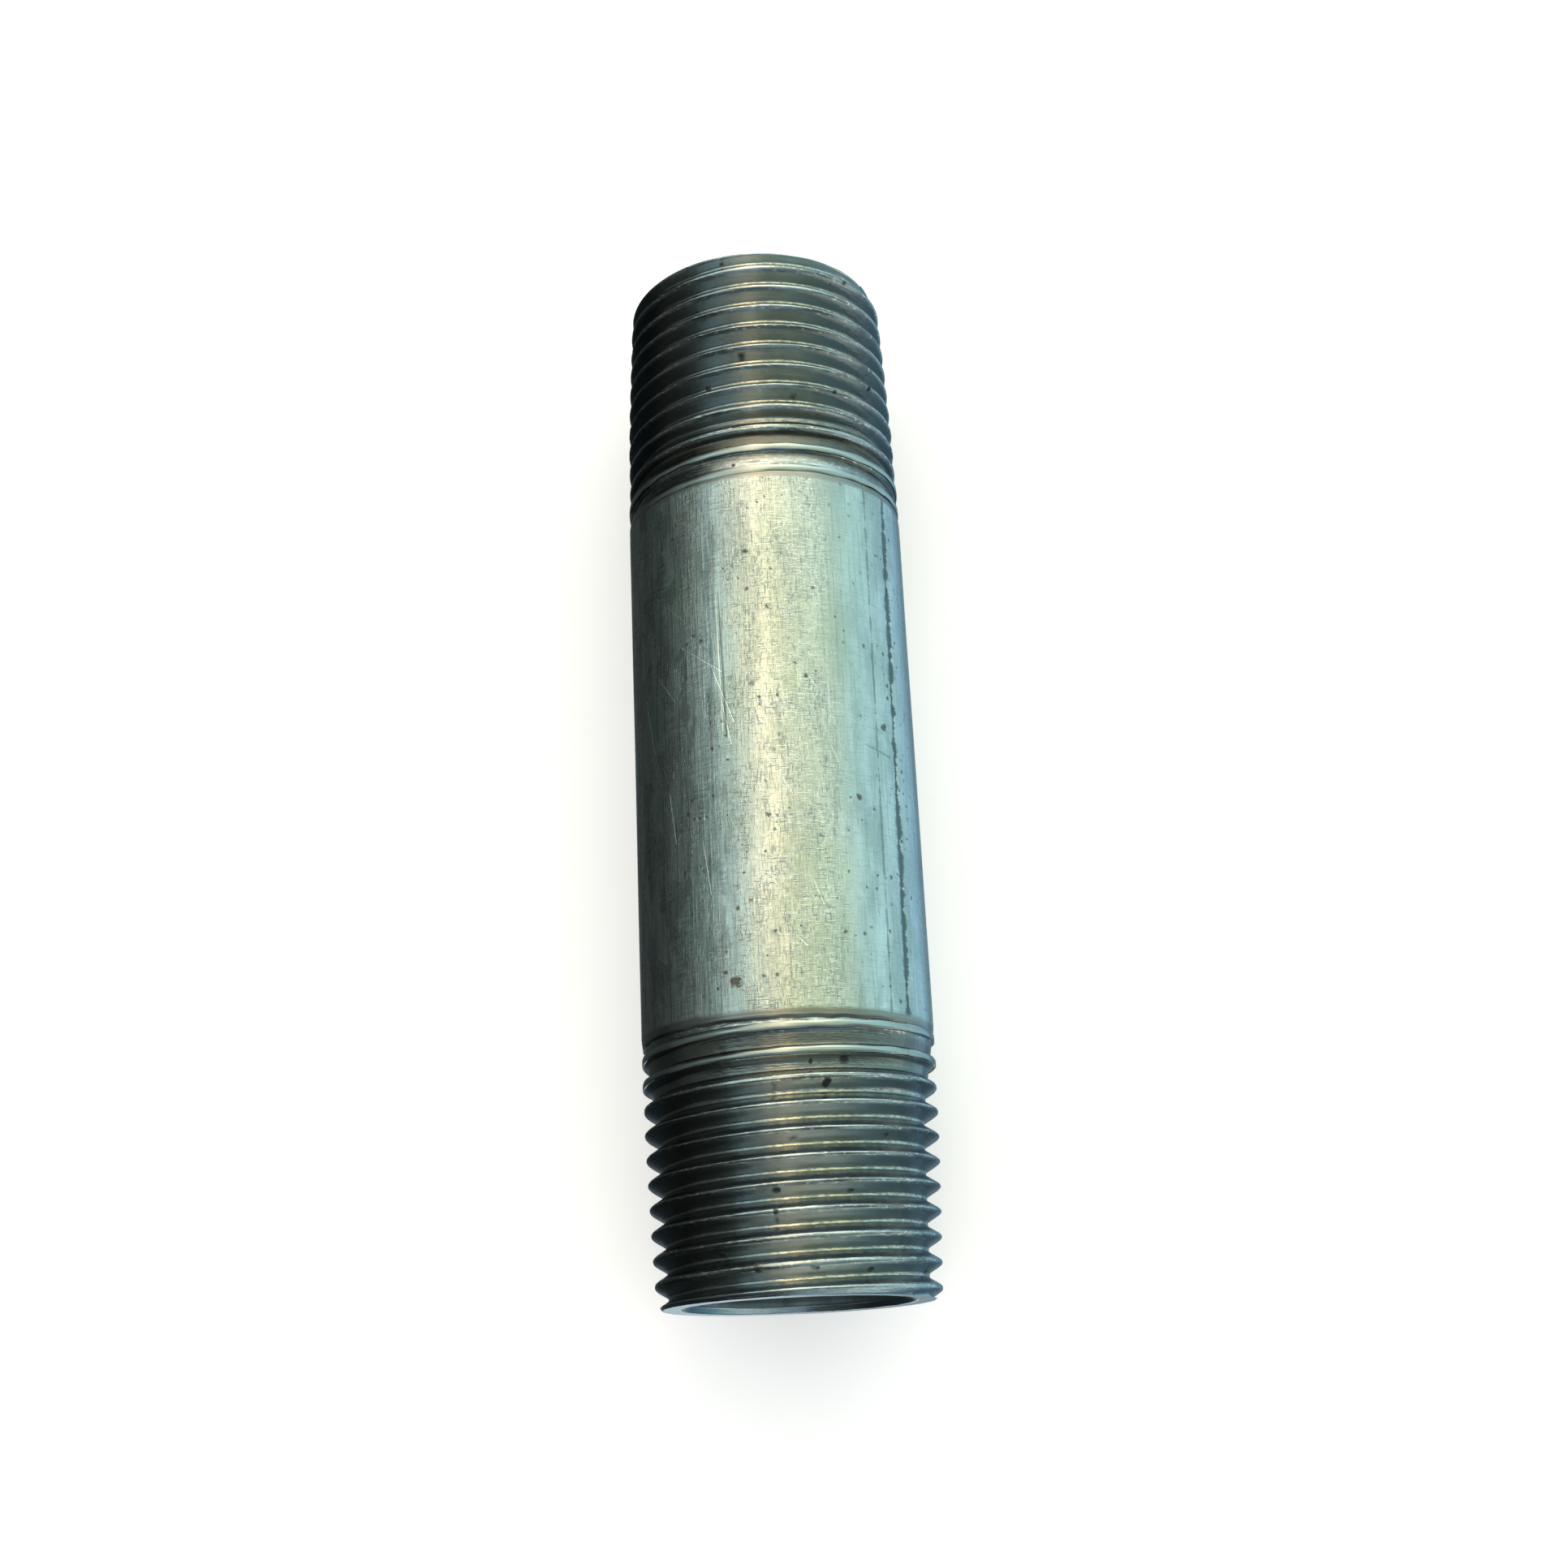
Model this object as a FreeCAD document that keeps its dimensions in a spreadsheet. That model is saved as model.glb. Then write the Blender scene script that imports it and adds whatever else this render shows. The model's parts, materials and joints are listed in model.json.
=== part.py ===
"""Galvanised steel pipe nipple, 3/8-18 taper pipe thread on both ends, 2-1/2 in long.

The pipe lies along Y with its middle at the origin and +Z up. The near end is at -Y.
Every sub-part starts as a revolved body. One pair of thread cutters, shaped like the grooves
that the dies leave, is then taken out of the strip and its weld alike.
"""
import FreeCAD, Part

import os
import Sketcher

PARTS_FOLDER = "parts"
FULL_TURN = 360
RIGHT_ANGLE = 90
TURNS_PER_SEGMENT = 1

# the die's X, Y and Z axes, with Z into the pipe at its near end and X at the top
INTO_PIPE = FreeCAD.Rotation(
    FreeCAD.Vector(0, 0, 1), FreeCAD.Vector(1, 0, 0), FreeCAD.Vector(0, 1, 0), "XYZ"
)

# alias, value in millimetres or degrees, what it is
SIZES = (
    ("nipple_length", 63.5, "end face to end face"),
    ("pipe_diameter", 17.145, "outside, over the zinc"),
    ("wall_thickness", 2.311, "with both zinc coats"),
    ("zinc_thickness", 0.08, "one hot-dip coat"),
    ("seam_angle", 56.0, "weld seam, from +Z towards +X"),
    ("seam_sweep", 8.0, "angle that the fused slab takes up"),
    ("ream_depth", 0.35, "45 degree reamed edge inside each end"),
    ("end_face_diameter", 15.5, "outside of the flat end face"),
    ("thread_pitch", 1.41111, "18 threads per inch"),
    ("taper_angle", 1.7899, "half angle of the 1 in 16 taper"),
    ("pitch_diameter", 15.545, "at the end face"),
    ("thread_height", 1.12889, "0.8 of the pitch, crest to root"),
    ("root_truncation", 0.04657, "0.033 of the pitch, root line to sharp root"),
    ("flank_angle", 30.0, "each flank of the 60 degree thread"),
    ("full_thread_length", 10.358, "end face to where the roots start to rise"),
    ("near_thread_length", 15.4, "-Y face to the last mark of the die"),
    ("far_thread_length", 16.0, "+Y face to the last mark of the die"),
    ("near_root_offset", 0.924, "-Y face to the first root line, along the top"),
    ("far_root_offset", 0.533, "+Y face to the first root line, along the top"),
    ("cutter_margin", 0.4, "how far the grooves stand past the crests"),
    ("core_margin", 1.6, "how far the core stands past the pipe"),
    ("lead_in_turns", 2, "cutter turns off the end of the pipe"),
    ("cutter_turns", 16, "turns of the whole cutter"),
    ("core_lead_in", 5.6, "length of the core off the end of the pipe"),
    ("core_length", 24, "length of the core inside the end face"),
)

HALF_LENGTH = "Size.nipple_length / 2"
STEEL_RADIUS = "(Size.pipe_diameter / 2 - Size.zinc_thickness)"
BORE_RADIUS = "(Size.pipe_diameter / 2 - Size.wall_thickness + Size.zinc_thickness)"
TAPER = "tan(Size.taper_angle)"
CREST_AT_FACE = "(Size.pitch_diameter / 2 + Size.thread_height / 2)"
ROOT_AT_FACE = "(Size.pitch_diameter / 2 - Size.thread_height / 2)"
CHAMFER = f"({CREST_AT_FACE} - Size.end_face_diameter / 2) / (1 - {TAPER})"
TAPERED_RUN = f"({STEEL_RADIUS} - {CREST_AT_FACE}) / {TAPER}"


def add_sizes(doc):
    """Sheet of driving sizes: alias in column A, value in B, meaning in C."""
    sheet = doc.addObject("Spreadsheet::Sheet", "Size")
    for row, (alias, value, meaning) in enumerate(SIZES, start=1):
        sheet.set(f"A{row}", alias)
        sheet.set(f"B{row}", str(value))
        sheet.set(f"C{row}", meaning)
        sheet.setAlias(f"B{row}", alias)
    doc.recompute()
    return sheet


def draw_outline(sketch, sheet, corners):
    """Closed outline of straight lines in a sketch. Each corner is a pair of expressions."""
    points = [
        FreeCAD.Vector(sheet.evalExpression(across), sheet.evalExpression(up), 0)
        for across, up in corners
    ]
    for index, point in enumerate(points):
        sketch.addGeometry(Part.LineSegment(point, points[(index + 1) % len(points)]))
    for index in range(len(points)):
        following = (index + 1) % len(points)
        sketch.addConstraint(Sketcher.Constraint("Coincident", index, 2, following, 1))
    for index, (point, corner) in enumerate(zip(points, corners)):
        for kind, value, expression in zip(("DistanceX", "DistanceY"), point, corner):
            datum = sketch.addConstraint(Sketcher.Constraint(kind, -1, 1, index, 1, value))
            sketch.setExpression(f"Constraints[{datum}]", expression)


def outline(body, sheet, name, corners):
    """Sketch on the body's YZ plane with a closed outline of (y, radius) corners."""
    plane = next(part for part in body.Origin.OriginFeatures if part.Role == "YZ_Plane")
    sketch = body.newObject("Sketcher::SketchObject", name)
    sketch.AttachmentSupport = [(plane, "")]
    sketch.MapMode = "FlatFace"
    draw_outline(sketch, sheet, corners)
    return sketch


def revolve(body, name, sketch, sweep=None):
    """Revolution about Y: a full turn, or a sweep centred on the sketch plane."""
    feature = body.newObject("PartDesign::Revolution", name)
    feature.Profile = sketch
    feature.ReferenceAxis = (sketch, ["H_Axis"])
    feature.Angle = FULL_TURN
    if sweep:
        feature.Midplane = True
        feature.setExpression("Angle", sweep)
    body.Tip = feature
    return feature


def turn_about_y(body, angle):
    """Turn the body about the pipe's axis by an angle from the sheet."""
    axis = FreeCAD.Vector(0, 1, 0)
    body.Placement = FreeCAD.Placement(FreeCAD.Vector(0, 0, 0), FreeCAD.Rotation(axis, 1))
    body.setExpression("Placement.Rotation.Angle", angle)


def both_ends(corners):
    """The +Y half of an outline, followed by its mirror image."""
    return corners + [(f"-({y})", radius) for y, radius in reversed(corners)]


def steel_wall():
    """Half section of the steel, reamed inside each end and chamfered outside."""
    return both_ends([
        (f"{HALF_LENGTH} - Size.ream_depth", BORE_RADIUS),
        (HALF_LENGTH, f"{BORE_RADIUS} + Size.ream_depth"),
        (HALF_LENGTH, "Size.end_face_diameter / 2"),
        (f"{HALF_LENGTH} - {CHAMFER}", f"Size.end_face_diameter / 2 + {CHAMFER}"),
        (f"{HALF_LENGTH} - {TAPERED_RUN}", STEEL_RADIUS),
    ])


def strip_blank(doc, sheet):
    """Steel strip rolled into a tube, open along the slit that the weld fills."""
    body = doc.addObject("PartDesign::Body", "strip_blank")
    wall = outline(body, sheet, "strip_section", steel_wall())
    revolve(body, "strip_wall", wall, f"{FULL_TURN} - Size.seam_sweep")
    turn_about_y(body, f"Size.seam_angle + {FULL_TURN} / 2")
    return body


def seam_blank(doc, sheet):
    """Fused edges of the strip, flush with it inside and outside."""
    body = doc.addObject("PartDesign::Body", "seam_blank")
    revolve(body, "seam_slab", outline(body, sheet, "seam_section", steel_wall()), "Size.seam_sweep")
    turn_about_y(body, "Size.seam_angle")
    return body


def zinc_coat_outside(doc, sheet):
    """Zinc on the plain barrel, from one end's last die mark to the other's."""
    body = doc.addObject("PartDesign::Body", "zinc_coat_outside")
    near = f"-{HALF_LENGTH} + Size.near_thread_length"
    far = f"{HALF_LENGTH} - Size.far_thread_length"
    coat = outline(body, sheet, "barrel_coat", [
        (near, STEEL_RADIUS),
        (far, STEEL_RADIUS),
        (far, "Size.pipe_diameter / 2"),
        (near, "Size.pipe_diameter / 2"),
    ])
    revolve(body, "barrel_zinc", coat)
    return body


def zinc_coat_bore(doc, sheet):
    """Zinc on the bore wall, cut off along the reamed edges."""
    body = doc.addObject("PartDesign::Body", "zinc_coat_bore")
    coat = outline(body, sheet, "bore_coat", both_ends([
        (f"{HALF_LENGTH} - Size.ream_depth", BORE_RADIUS),
        (f"{HALF_LENGTH} - Size.ream_depth - Size.zinc_thickness", f"{BORE_RADIUS} - Size.zinc_thickness"),
    ]))
    revolve(body, "bore_zinc", coat)
    return body


def groove(doc, sheet, end):
    """Sharp V groove wound on the taper, in the die's own frame.

    That frame has its origin in the middle of the end face and Z running into the pipe.
    The section's straight sides above the crests keep neighbouring turns apart.
    """
    first = f"(Size.{end}_root_offset - Size.lead_in_turns * Size.thread_pitch)"
    depth = "(Size.thread_height + Size.root_truncation)"
    half_width = f"{depth} * tan(Size.flank_angle)"
    sharp_root = f"{ROOT_AT_FACE} - Size.root_truncation + {first} * {TAPER}"
    crest = f"{sharp_root} + {depth}"
    top = f"{crest} + Size.cutter_margin"
    section = doc.addObject("Sketcher::SketchObject", f"{end}_groove_section")
    draw_outline(section, sheet, [
        (sharp_root, "0"),
        (crest, half_width),
        (top, half_width),
        (top, f"-{half_width}"),
        (crest, f"-{half_width}"),
    ])
    upright = FreeCAD.Rotation(FreeCAD.Vector(1, 0, 0), RIGHT_ANGLE)
    section.Placement = FreeCAD.Placement(FreeCAD.Vector(0, 0, 0), upright)
    spine = doc.addObject("Part::Helix", f"{end}_spine")
    spine.SegmentLength = TURNS_PER_SEGMENT
    spine.setExpression("Pitch", "Size.thread_pitch")
    spine.setExpression("Height", "Size.cutter_turns * Size.thread_pitch")
    spine.setExpression("Radius", sharp_root)
    spine.setExpression("Angle", "Size.taper_angle")
    sweep = doc.addObject("Part::Sweep", f"{end}_groove")
    sweep.Sections = [section]
    sweep.Spine = spine
    sweep.Solid = True
    sweep.Frenet = True
    sweep.setExpression("Placement.Base.z", first)
    return sweep


def core(doc, sheet, end):
    """What a die leaves, in the same frame: the root cone, which then rises to the surface."""
    body = doc.addObject("PartDesign::Body", f"{end}_core")
    body.Placement = FreeCAD.Placement(FreeCAD.Vector(0, 0, 0), INTO_PIPE.inverted())
    before = "-Size.core_lead_in"
    last = f"Size.{end}_thread_length"
    full_root = f"({ROOT_AT_FACE} + Size.full_thread_length * {TAPER})"
    throat = f"(Size.pipe_diameter / 2 - {full_root}) / ({last} - Size.full_thread_length)"
    clear = "Size.pipe_diameter / 2 + Size.core_margin"
    section = outline(body, sheet, f"{end}_core_section", [
        (before, "0"),
        (before, f"{ROOT_AT_FACE} + {before} * {TAPER}"),
        ("Size.full_thread_length", full_root),
        (f"{last} + Size.cutter_margin", f"Size.pipe_diameter / 2 + Size.cutter_margin * {throat}"),
        (f"{last} + Size.cutter_margin", clear),
        ("Size.core_length", clear),
        ("Size.core_length", "0"),
    ])
    revolve(body, f"{end}_core_cone", section)
    return body


def thread_cutter(doc, sheet, end, rotation, side):
    """The groove that one die cuts, set on its end of the pipe."""
    cutter = doc.addObject("Part::Cut", f"{end}_thread_cutter")
    cutter.Base = groove(doc, sheet, end)
    cutter.Tool = core(doc, sheet, end)
    cutter.Placement = FreeCAD.Placement(FreeCAD.Vector(0, 0, 0), rotation)
    cutter.setExpression("Placement.Base.y", f"{side} * {HALF_LENGTH}")
    return cutter


def thread_cutters(doc, sheet):
    """Both ends' cutters as one compound. A half turn about Z faces the far one inwards."""
    half_turn = FreeCAD.Rotation(FreeCAD.Vector(0, 0, 1), FULL_TURN / 2)
    cutters = doc.addObject("Part::Compound", "thread_cutters")
    cutters.Links = [
        thread_cutter(doc, sheet, "near", INTO_PIPE, -1),
        thread_cutter(doc, sheet, "far", half_turn * INTO_PIPE, 1),
    ]
    return cutters


def threaded(doc, name, blank, cutters):
    """A blank with the threads of both ends cut through it."""
    cut = doc.addObject("Part::Cut", name)
    cut.Base = blank
    cut.Tool = cutters
    return cut


def build(doc):
    """All sub-parts of the nipple."""
    sheet = add_sizes(doc)
    cutters = thread_cutters(doc, sheet)
    return [
        threaded(doc, "rolled_strip", strip_blank(doc, sheet), cutters),
        threaded(doc, "weld_seam", seam_blank(doc, sheet), cutters),
        zinc_coat_outside(doc, sheet),
        zinc_coat_bore(doc, sheet),
    ]


def check(doc, subparts):
    """Stop if any object failed or any sub-part isn't a valid solid of its own."""
    for item in doc.Objects:
        if {"Invalid", "Error"} & set(item.State):
            raise RuntimeError(f"{item.Label} did not compute: {item.State}")
    for part in subparts:
        if part.Shape.isNull() or not part.Shape.isValid():
            raise RuntimeError(f"{part.Label} has no valid shape")
        print(f"{part.Label}: {len(part.Shape.Solids)} solid, {part.Shape.Volume:.1f} mm3")


def main():
    """Build the document, check it and write one file per sub-part."""
    doc = FreeCAD.newDocument("pipe_nipple")
    subparts = build(doc)
    doc.recompute()
    check(doc, subparts)
    os.makedirs(PARTS_FOLDER, exist_ok=True)
    for part in subparts:
        part.Shape.exportStep(f"{PARTS_FOLDER}/{part.Label}.step")


main()
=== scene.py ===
"""Galvanised pipe nipple lying on its side: a plain zinc-coated barrel between two taper pipe threads.

The pipe lies along Y with its middle at the origin, and +Z is up. Sizes are in millimetres
unless a name says otherwise. Angles run round the pipe from the top towards +X.
"""
import json
import logging
import math
from dataclasses import dataclass
from enum import Enum

import bpy
import numpy as np
from mathutils import Euler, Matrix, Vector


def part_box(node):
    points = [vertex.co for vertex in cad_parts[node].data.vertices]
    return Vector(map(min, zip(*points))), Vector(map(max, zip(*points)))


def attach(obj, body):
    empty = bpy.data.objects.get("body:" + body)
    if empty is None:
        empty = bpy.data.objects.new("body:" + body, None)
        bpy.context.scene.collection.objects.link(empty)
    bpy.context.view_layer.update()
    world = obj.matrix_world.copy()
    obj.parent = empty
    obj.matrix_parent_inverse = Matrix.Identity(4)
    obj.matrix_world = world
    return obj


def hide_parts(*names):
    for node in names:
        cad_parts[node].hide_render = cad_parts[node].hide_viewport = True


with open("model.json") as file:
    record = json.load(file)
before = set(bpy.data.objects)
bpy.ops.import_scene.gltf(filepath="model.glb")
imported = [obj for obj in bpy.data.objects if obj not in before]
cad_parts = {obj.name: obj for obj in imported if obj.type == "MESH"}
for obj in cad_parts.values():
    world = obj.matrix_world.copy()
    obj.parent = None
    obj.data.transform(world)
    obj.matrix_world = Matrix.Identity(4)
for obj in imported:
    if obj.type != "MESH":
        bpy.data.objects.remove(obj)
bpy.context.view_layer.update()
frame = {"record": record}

log = logging.getLogger("pipe_nipple")

MILLIMETRE = 0.001
PER_METRE = 1000.0
FULL_TURN = 360.0
BODY = "root"

Rows = np.ndarray
Piece = bpy.types.Object
Tree = bpy.types.NodeTree
Node = bpy.types.Node
Value = "Signal | float | tuple"


# ---------------------------------------------------------------------------------------------
# Sizes read from the record


def mount_size(name: str, key: str) -> float:
    """A stated size of one of the record's mounts.

    Args:
        name: the mount's name.
        key: the dimension's key, such as r_mm.

    Returns:
        The size in millimetres.
    """
    mount = next(entry for entry in frame["record"]["mounts"] if entry["name"] == name)
    return float(mount["dims"][key])


def box_radius(node: str) -> float:
    """Outside radius of a packed round part, in millimetres."""
    low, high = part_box(node)
    return float(high.x - low.x) / 2 * PER_METRE


@dataclass(frozen=True)
class PipeSizes:
    """Sizes of the pipe that every sub-assembly shares."""

    length: float
    outside_radius: float
    bore_radius: float
    zinc: float
    ream: float
    face_radius: float
    seam_angle: float
    seam_sweep: float
    seam_lean: float

    @classmethod
    def from_frame(cls) -> "PipeSizes":
        """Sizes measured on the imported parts."""
        low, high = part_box("rolled_strip")
        outside, steel_bore = (box_radius(node) for node in ("zinc_coat_outside", "zinc_coat_bore"))
        finished_bore = mount_size("flow_bore", "r_mm")
        return cls(
            length=float(high.y - low.y) * PER_METRE,
            outside_radius=outside,
            bore_radius=finished_bore,
            zinc=steel_bore - finished_bore,
            ream=0.35,
            face_radius=7.75,
            seam_angle=56.0,
            seam_sweep=8.0,
            seam_lean=0.164,
        )

    @property
    def half(self) -> float:
        """Half of the pipe's length."""
        return self.length / 2

    @property
    def steel_radius(self) -> float:
        """Outside of the steel, under the zinc."""
        return self.outside_radius - self.zinc

    @property
    def steel_bore(self) -> float:
        """Bore of the steel, under the zinc."""
        return self.bore_radius + self.zinc


# ---------------------------------------------------------------------------------------------
# Mesh work


def soft_min(first: Rows, second: Rows, rounding: float) -> Rows:
    """The lower of two surfaces, with a rounded edge where they meet."""
    return (first + second - np.sqrt((first - second) ** 2 + rounding**2)) / 2


def soft_max(first: Rows, second: Rows, rounding: float) -> Rows:
    """The higher of two surfaces, with a rounded corner where they meet."""
    return (first + second + np.sqrt((first - second) ** 2 + rounding**2)) / 2


def waves(
    rng: np.random.Generator, angle: Rows, along: Rows, count: int, most_lobes: int, shortest: float
) -> Rows:
    """Smooth random unevenness that closes on itself round the pipe.

    Args:
        rng: seeded random source.
        angle: degrees round the pipe.
        along: millimetres along the pipe.
        count: how many waves are added up.
        most_lobes: the most lobes that a wave has round the pipe.
        shortest: the shortest wave along the pipe.

    Returns:
        Heights of about -1 to 1, of the arrays' common shape.
    """
    turn = np.radians(angle)
    total = np.zeros(np.broadcast(angle, along).shape)
    for _ in range(count):
        lobes = rng.integers(-most_lobes, most_lobes + 1)
        stretch = rng.uniform(-1, 1) * 2 * math.pi / shortest
        total += np.cos(lobes * turn + stretch * along + rng.uniform(0, 2 * math.pi))
    return total / math.sqrt(count)


def sweep_section(
    name: str, angle: Rows, along: Rows, radius: Rows, closed: bool, marks: dict[str, Rows]
) -> Piece:
    """A solid made by carrying a closed section round the pipe's axis.

    Args:
        name: the piece's name.
        angle: degrees round the pipe of each column.
        along: position along the pipe, one row per point of the section.
        radius: distance from the axis, of the same shape.
        closed: True where the last column meets the first again.
        marks: named values per point, which the finish reads.

    Returns:
        The new object, with no finish yet.
    """
    rows, columns = radius.shape
    turn = np.radians(angle)[None, :]
    places = np.stack(
        [radius * np.sin(turn), np.broadcast_to(along, radius.shape), radius * np.cos(turn)], axis=-1
    )
    spans = columns if closed else columns - 1
    row, column = np.meshgrid(np.arange(rows), np.arange(spans), indexing="ij")
    after_row, after_column = (row + 1) % rows, (column + 1) % columns
    corners = ((row, column), (after_row, column), (after_row, after_column), (row, after_column))
    quads = np.stack([at_row * columns + at_column for at_row, at_column in corners], axis=-1).reshape(-1, 4)
    mesh = bpy.data.meshes.new(name)
    faces = quads.tolist()
    if not closed:
        faces.append(list(range(0, rows * columns, columns))[::-1])
        faces.append(list(range(columns - 1, rows * columns, columns)))
    mesh.from_pydata((places.reshape(-1, 3) * MILLIMETRE).tolist(), [], faces)
    smooth = np.ones(len(faces), bool)
    smooth[len(quads):] = False
    mesh.polygons.foreach_set("use_smooth", smooth)
    for mark, values in marks.items():
        layer = mesh.attributes.new(mark, "FLOAT", "POINT")
        layer.data.foreach_set("value", np.broadcast_to(values, radius.shape).astype(np.float32).ravel())
    mesh.update()
    if not closed:
        round_pipe = np.gradient(places, axis=1, edge_order=2)
        round_section = np.roll(places, -1, axis=0) - np.roll(places, 1, axis=0)
        normals = np.cross(round_pipe, round_section)
        normals /= np.linalg.norm(normals, axis=-1, keepdims=True) + 1e-12
        mesh.normals_split_custom_set_from_vertices((-normals).reshape(-1, 3).tolist())
    piece = bpy.data.objects.new(name, mesh)
    bpy.context.scene.collection.objects.link(piece)
    return piece


def mount_piece(piece: Piece, node: str, finish: bpy.types.Material) -> None:
    """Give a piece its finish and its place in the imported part.

    Args:
        piece: the finished mesh.
        node: the part that it stands for.
        finish: the material.
    """
    piece.data.materials.append(finish)
    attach(piece, BODY)
    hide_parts(node)
    log.info("%s: %d points, finish %s", piece.name, len(piece.data.vertices), finish.name)


# ---------------------------------------------------------------------------------------------
# Threads


class End(Enum):
    """The two ends of the pipe, by the sign of their Y."""

    NEAR = -1
    FAR = 1


@dataclass(frozen=True)
class TaperThread:
    """The 3/8-18 taper pipe thread on one end."""

    pipe: PipeSizes
    end: End
    length: float
    root_offset: float
    pitch: float = 25.4 / 18
    taper: float = 1 / 32
    crest_at_face: float = 8.3369
    root_at_face: float = 7.2081
    truncation: float = 0.0466
    full_length: float = 10.358
    flank: float = 30.0
    root_rounding: float = 0.07
    root_fill: float = 0.15
    crest_rounding: float = 0.09
    crest_blend: float = 0.02
    land_rounding: float = 0.11
    crest_wear: float = 0.24
    worn_length: float = 11.0
    root_mark_width: float = 0.09

    @property
    def first_root(self) -> float:
        """Where the root line nearest the end face crosses the top of the pipe."""
        return self.end.value * (self.pipe.half - self.root_offset)

    @property
    def last_mark(self) -> float:
        """Where along the pipe the die's last mark lies."""
        return self.end.value * (self.pipe.half - self.length)

    def depth_in(self, along: Rows) -> Rows:
        """Distance from this end's face."""
        return self.pipe.half - self.end.value * along

    def phase(self, angle: Rows, along: Rows) -> Rows:
        """Turns of the thread from the first root line: whole numbers are roots."""
        return (along - self.first_root) / self.pitch - angle / FULL_TURN

    def from_root(self, angle: Rows, along: Rows) -> Rows:
        """Distance along the pipe from the nearest root line."""
        phase = self.phase(angle, along)
        return np.abs(phase - np.round(phase)) * self.pitch

    def sharp_root(self, depth: Rows) -> Rows:
        """Radius of the sharp root line."""
        return self.root_at_face - self.truncation + self.taper * depth

    def floor(self, depth: Rows) -> Rows:
        """Radius that the die's flat teeth leave, which rises to the surface at its throat."""
        root = self.root_at_face + self.root_fill + self.taper * depth
        full_root = self.root_at_face + self.root_fill + self.taper * self.full_length
        slope = (self.pipe.outside_radius - full_root) / (self.length - self.full_length)
        return np.maximum(root, full_root + (depth - self.full_length) * slope)

    def groove(self, angle: Rows, along: Rows) -> Rows:
        """Radius of the groove's flanks and floor."""
        from_root = self.from_root(angle, along)
        depth = self.depth_in(along)
        rise = 1 / math.tan(math.radians(self.flank))
        flanks = self.sharp_root(depth) + np.hypot(from_root, self.root_rounding) * rise
        from_crest = self.pitch / 2 - from_root
        tops = self.sharp_root(depth) + (self.pitch / 2 - np.hypot(from_crest, self.crest_rounding)) * rise
        return soft_max(soft_min(flanks, tops, self.crest_blend), self.floor(depth), self.root_rounding)

    def root_mark(self, angle: Rows, along: Rows) -> Rows:
        """1 along the bottom of the groove, falling to 0 on its flanks."""
        inside = self.depth_in(along) < self.length
        return np.exp(-((self.from_root(angle, along) / self.root_mark_width) ** 4)) * inside

    def crest(self, depth: Rows) -> Rows:
        """Radius of the crests, worn down most near the end face."""
        worn = self.crest_wear * np.clip(1 - depth / self.worn_length, 0, 1)
        return self.crest_at_face + self.taper * depth - worn

    def surface(self, angle: Rows, along: Rows) -> Rows:
        """Radius of the threaded surface, up to the tapered crests."""
        return soft_min(self.groove(angle, along), self.crest(self.depth_in(along)), self.land_rounding)

    def crest_line(self, turns: Rows) -> Rows:
        """Position along the pipe of the crest, a number of turns from the first root line."""
        return self.first_root + self.pitch * (turns + 0.5)

    def crest_half_width(self, along: Rows, radius: float) -> Rows:
        """Half the width of the crest's land at a radius."""
        room = radius - self.sharp_root(self.depth_in(along))
        return self.pitch / 2 - room * math.tan(math.radians(self.flank))


@dataclass(frozen=True)
class Dents:
    """Small nicks and burrs on the crests."""

    seed: int
    count: int
    deepest: float
    across: float
    along: float

    def heights(self, angle: Rows, along: Rows, reach: tuple[float, float]) -> Rows:
        """Height change of the surface.

        Args:
            angle: degrees round the pipe.
            along: millimetres along the pipe.
            reach: the stretch along the pipe that has dents.

        Returns:
            Millimetres to add to the radius.
        """
        rng = np.random.default_rng(self.seed)
        total = np.zeros(np.broadcast(angle, along).shape)
        for _ in range(self.count):
            middle_angle = rng.uniform(-FULL_TURN / 2, FULL_TURN / 2)
            middle = rng.uniform(*reach)
            size = rng.uniform(0.4, 1.0)
            lift = self.deepest * size * rng.choice([-1.0, -1.0, 0.6])
            off = (angle - middle_angle + FULL_TURN / 2) % FULL_TURN - FULL_TURN / 2
            total += lift * np.exp(
                -((off / (self.across * size)) ** 2) - ((along - middle) / (self.along * size)) ** 2
            )
        return total


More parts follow.
